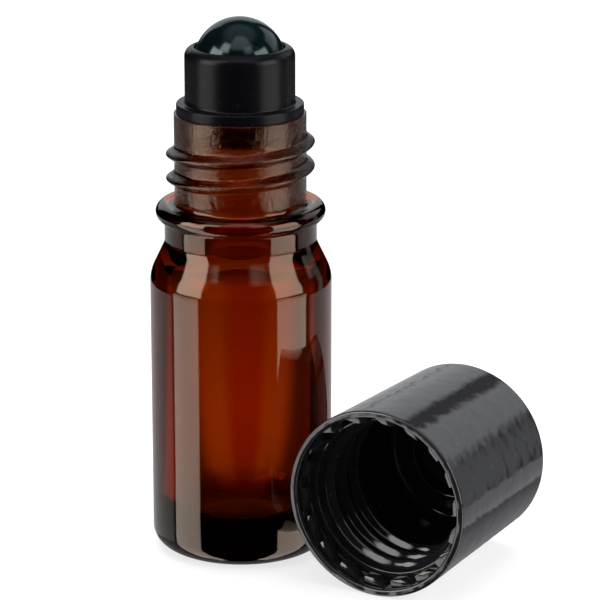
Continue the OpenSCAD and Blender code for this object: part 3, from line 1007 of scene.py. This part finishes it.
def make_lights(s):
    """Two soft panels at the sides and one overhead, which light what isn't a mirror."""
    aim = Vector((0, 0, s.aim_height))
    for name, turn, lift, size, share in LAMPS:
        data = bpy.data.lights.new(name, "AREA")
        data.shape = "RECTANGLE"
        data.size, data.size_y = size
        data.energy = s.soft_light * share
        light = bpy.data.objects.new(name, data)
        light.visible_glossy = False
        light.visible_transmission = False
        bpy.context.scene.collection.objects.link(light)
        out = direction(s.azimuth + math.radians(turn), math.radians(lift))
        light.location = aim + out * LAMP_DISTANCE
        light.rotation_euler = out.to_track_quat("Z", "Y").to_euler()


def make_camera(s):
    """The camera at the photograph's viewing angle."""
    data = bpy.data.cameras.new("camera")
    data.lens = s.focal
    data.sensor_width = 36.0
    data.clip_start, data.clip_end = 0.02, 5.0
    camera = bpy.data.objects.new("camera", data)
    bpy.context.scene.collection.objects.link(camera)
    out = direction(s.azimuth, s.elevation)
    right = Vector((math.cos(s.azimuth), math.sin(s.azimuth), 0))
    aim = right * s.aim_side + Vector((0, 0, s.aim_height))
    camera.location = aim + out * s.distance
    camera.rotation_euler = out.to_track_quat("Z", "Y").to_euler()
    bpy.context.scene.camera = camera


# ---- Operators


class ROLLON_OT_bottle(bpy.types.Operator):
    """Make the amber glass bottle with its screw thread"""

    bl_idname = "rollon.bottle"
    bl_label = "Glass Bottle"

    def execute(self, context):
        s = context.scene.rollon_bottle
        finish_piece(
            make_bottle(s), "amber_bottle", "bottle", "glass_bottle", amber_glass(s)
        )
        return {"FINISHED"}


class ROLLON_OT_fitment(bpy.types.Operator):
    """Make the black fitment that is pressed into the neck and cages the ball"""

    bl_idname = "rollon.fitment"
    bl_label = "Ball Fitment"

    def execute(self, context):
        s = context.scene.rollon_fitment
        bm = make_fitment(s, context.scene.rollon_bottle)
        finish_piece(
            bm, "ball_fitment", "bottle", "roller_housing",
            fitment_plastic(s),
        )
        return {"FINISHED"}


class ROLLON_OT_ball(bpy.types.Operator):
    """Make the dark ball"""

    bl_idname = "rollon.ball"
    bl_label = "Ball"

    def execute(self, context):
        s = context.scene.rollon_fitment
        finish_piece(
            make_ball(s), "rolling_ball", "ball", "roller_ball", ball_plastic(s)
        )
        return {"FINISHED"}


class ROLLON_OT_cap(bpy.types.Operator):
    """Make the black screw cap that lies beside the bottle"""

    bl_idname = "rollon.cap"
    bl_label = "Screw Cap"

    def execute(self, context):
        s = context.scene.rollon_cap
        finish_piece(
            make_cap(s), "threaded_cap", "cap", "screw_cap", cap_plastic(s)
        )
        return {"FINISHED"}


class ROLLON_OT_stage(bpy.types.Operator):
    """Make the floor, the light and the camera"""

    bl_idname = "rollon.stage"
    bl_label = "Stage"

    def execute(self, context):
        s = context.scene.rollon_stage
        make_floor(s)
        make_world(s)
        make_lights(s)
        make_camera(s)
        context.scene.view_settings.view_transform = "Standard"
        return {"FINISHED"}


class ROLLON_PT_panel(bpy.types.Panel):
    """Sizes, colours and the buttons that make the pieces"""

    bl_idname = "ROLLON_PT_panel"
    bl_label = "Roll-on Bottle"
    bl_space_type = "VIEW_3D"
    bl_region_type = "UI"
    bl_category = "Roll-on"

    def draw(self, context):
        for operator, settings in MAKERS:
            self.layout.operator(operator)
            if settings:
                owner = getattr(context.scene, settings)
                for name in owner.bl_rna.properties.keys():
                    if name not in {"rna_type", "name"}:
                        self.layout.prop(owner, name)


MAKERS = (
    ("rollon.bottle", "rollon_bottle"),
    ("rollon.fitment", "rollon_fitment"),
    ("rollon.ball", ""),
    ("rollon.cap", "rollon_cap"),
    ("rollon.stage", "rollon_stage"),
)
SETTINGS = {
    "rollon_bottle": BottleSettings,
    "rollon_fitment": FitmentSettings,
    "rollon_cap": CapSettings,
    "rollon_stage": StageSettings,
}
CLASSES = (
    ROLLON_OT_bottle, ROLLON_OT_fitment, ROLLON_OT_ball, ROLLON_OT_cap, ROLLON_OT_stage,
    ROLLON_PT_panel,
)


def register():
    """Adds the settings, the operators and the panel."""
    for name, settings in SETTINGS.items():
        bpy.utils.register_class(settings)
        setattr(bpy.types.Scene, name, PointerProperty(type=settings))
    for cls in CLASSES:
        bpy.utils.register_class(cls)


def unregister():
    """Takes them away again."""
    for cls in reversed(CLASSES):
        bpy.utils.unregister_class(cls)
    for name, settings in SETTINGS.items():
        delattr(bpy.types.Scene, name)
        bpy.utils.unregister_class(settings)


def main():
    """Makes every piece and the stage."""
    register()
    bpy.ops.rollon.bottle()
    bpy.ops.rollon.fitment()
    bpy.ops.rollon.ball()
    bpy.ops.rollon.cap()
    bpy.ops.rollon.stage()


if __name__ == "__main__":
    main()
